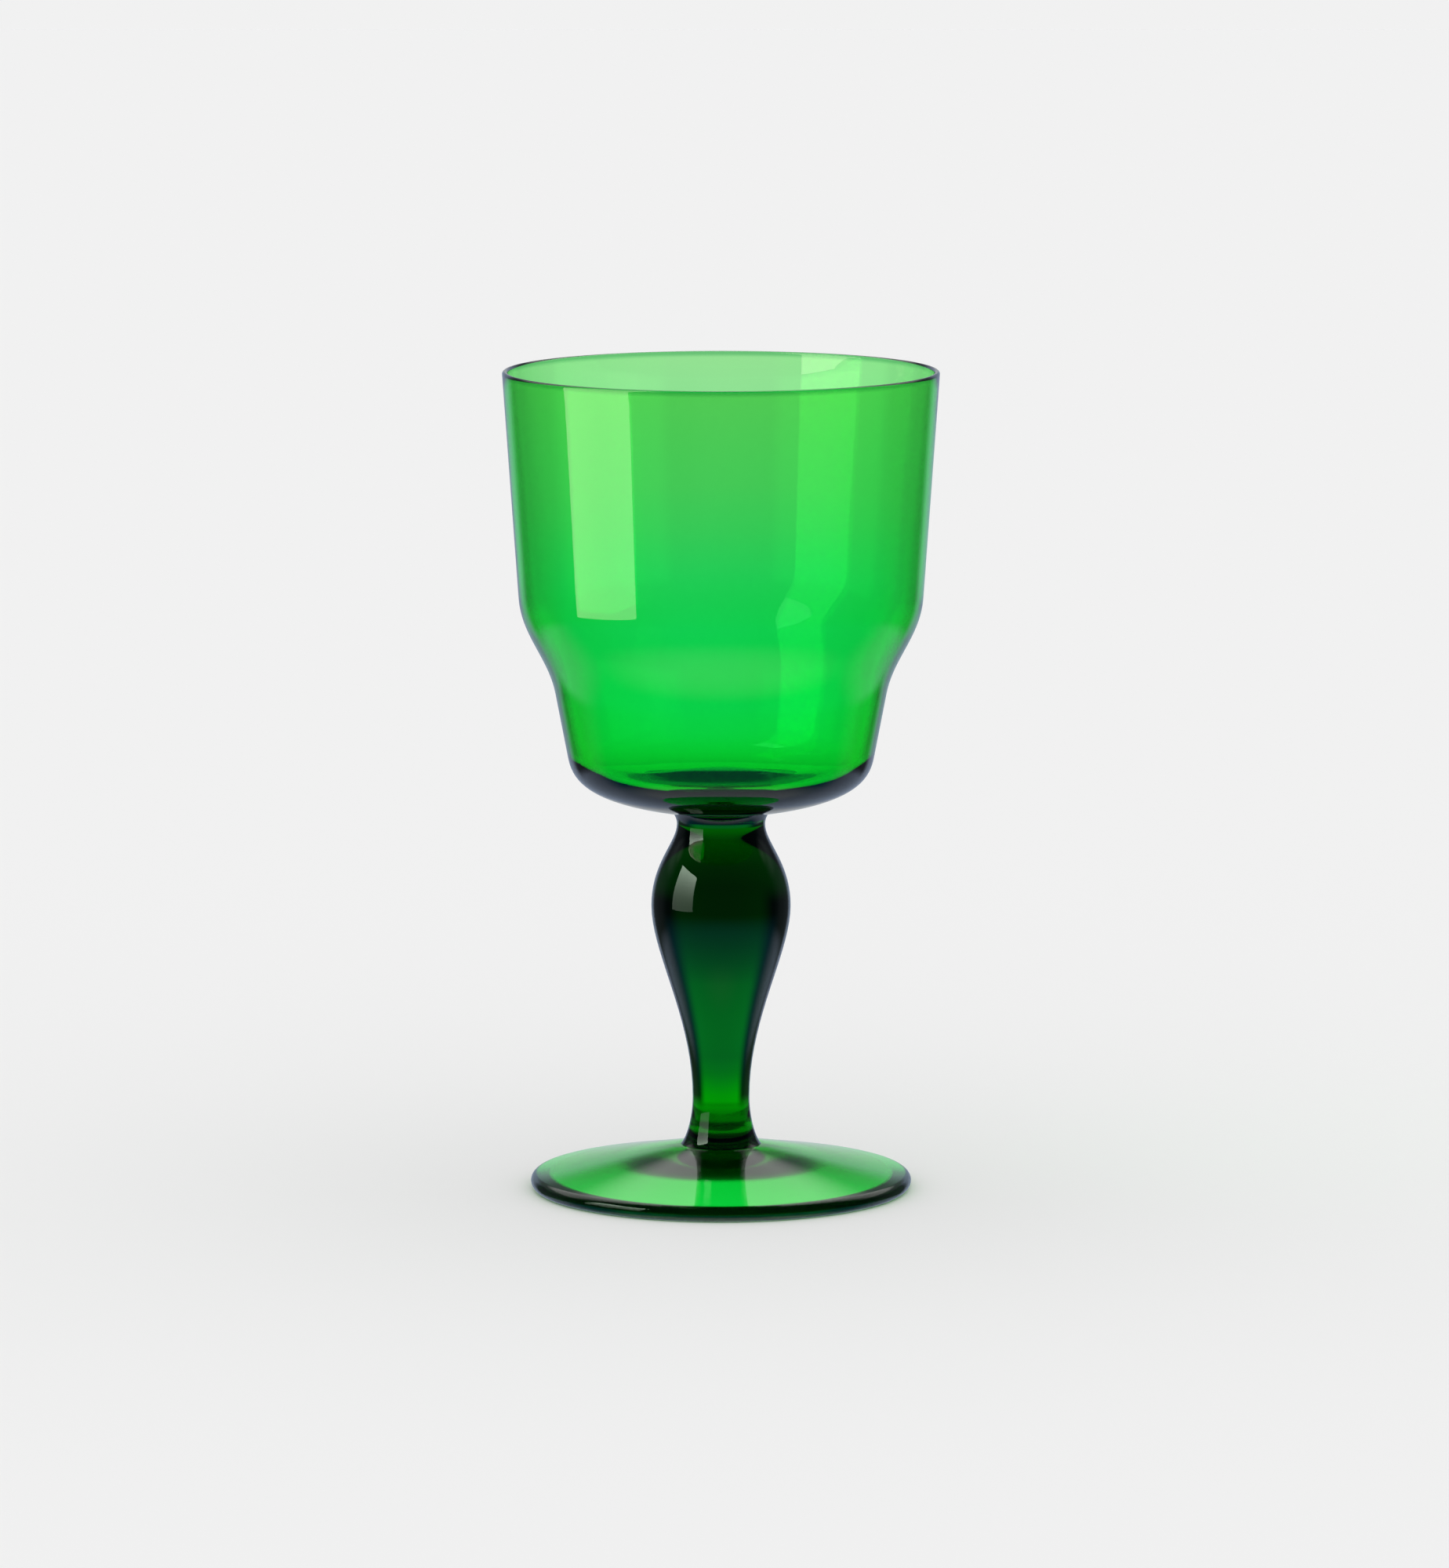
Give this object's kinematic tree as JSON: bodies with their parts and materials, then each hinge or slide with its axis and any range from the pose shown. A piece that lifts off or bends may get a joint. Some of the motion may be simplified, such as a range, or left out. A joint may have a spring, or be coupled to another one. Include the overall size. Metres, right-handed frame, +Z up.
{
  "type": "white wine glass",
  "caption": "Stem glass of coloured glass: an open stepped bowl on a solid baluster stem and a round foot, for drinking wine.",
  "frame": {"origin": "middle of the foot's underside, on the plane that the glass stands on", "axes": "+Z up along the axis that all pieces are turned about; +Y away from the picture's viewer, +X to the viewer's right"},
  "size_m": [0.0812, 0.0812, 0.154],
  "materials": {
    "bowl_glass": "clear green blown glass, fire polished",
    "stem_glass": "clear green solid glass, fire polished",
    "foot_glass": "clear green glass, fire polished"
  },
  "bodies": {
    "root": {"bowl": "bowl_glass", "stem": "stem_glass", "foot": "foot_glass"}
  },
  "joints": []
}
